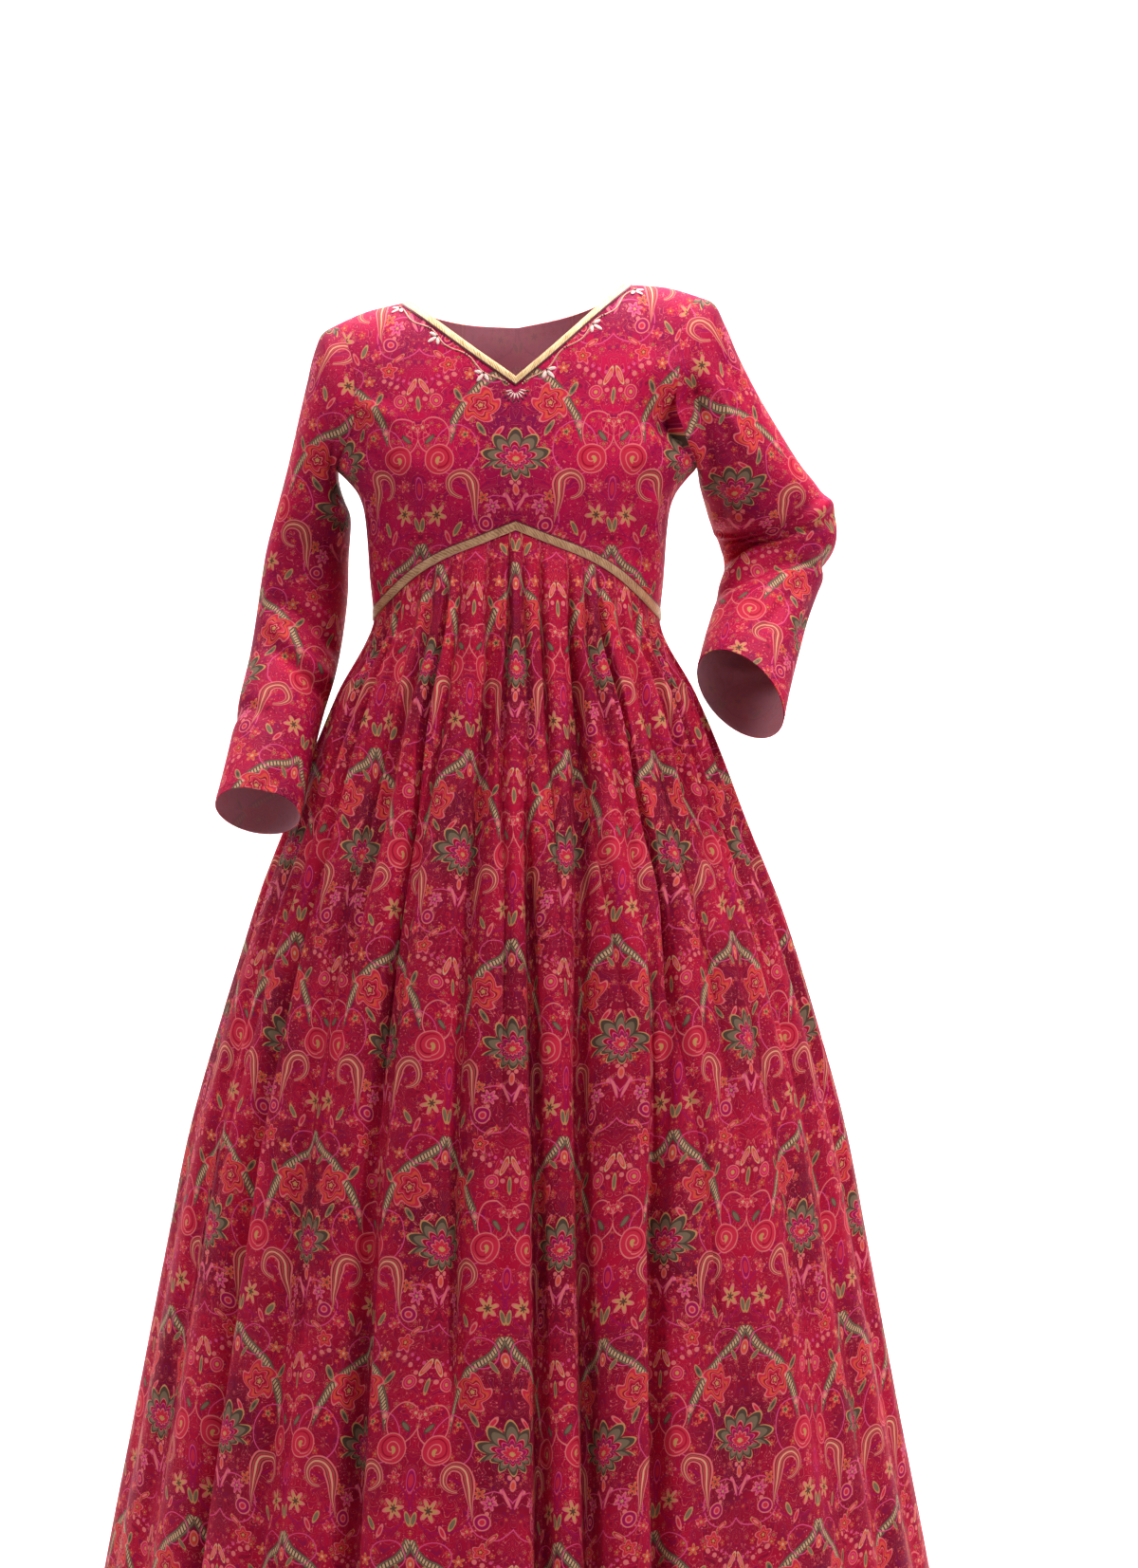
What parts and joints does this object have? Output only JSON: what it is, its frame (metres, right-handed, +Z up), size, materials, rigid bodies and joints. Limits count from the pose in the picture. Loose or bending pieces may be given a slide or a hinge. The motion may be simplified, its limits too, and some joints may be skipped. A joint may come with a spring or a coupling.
{
  "type": "anarkali gown",
  "caption": "Floor-length gown with a fitted V-neck bodice, a curved seam under the bust, a full gathered skirt, long sleeves and gold braid, one arm bent forward.",
  "frame": {"origin": "middle of the shoulder line, between the two neck points, where the wearer's shoulders hold the gown", "axes": "+Z up, the front of the gown faces -Y, +X is the wearer's left"},
  "size_m": [0.8986, 0.7558, 1.4327],
  "materials": {
    "printed_cloth": "soft semi-gloss printed cloth",
    "gold_braid": "woven metallic thread"
  },
  "bodies": {
    "root": {"bodice_front": "printed_cloth", "bodice_back": "printed_cloth", "sleeve_left": "printed_cloth", "sleeve_right": "printed_cloth", "skirt_front": "printed_cloth", "skirt_back": "printed_cloth", "neck_braid_left": "gold_braid", "neck_braid_right": "gold_braid", "neck_braid_back": "gold_braid", "waist_braid": "gold_braid"}
  },
  "joints": []
}
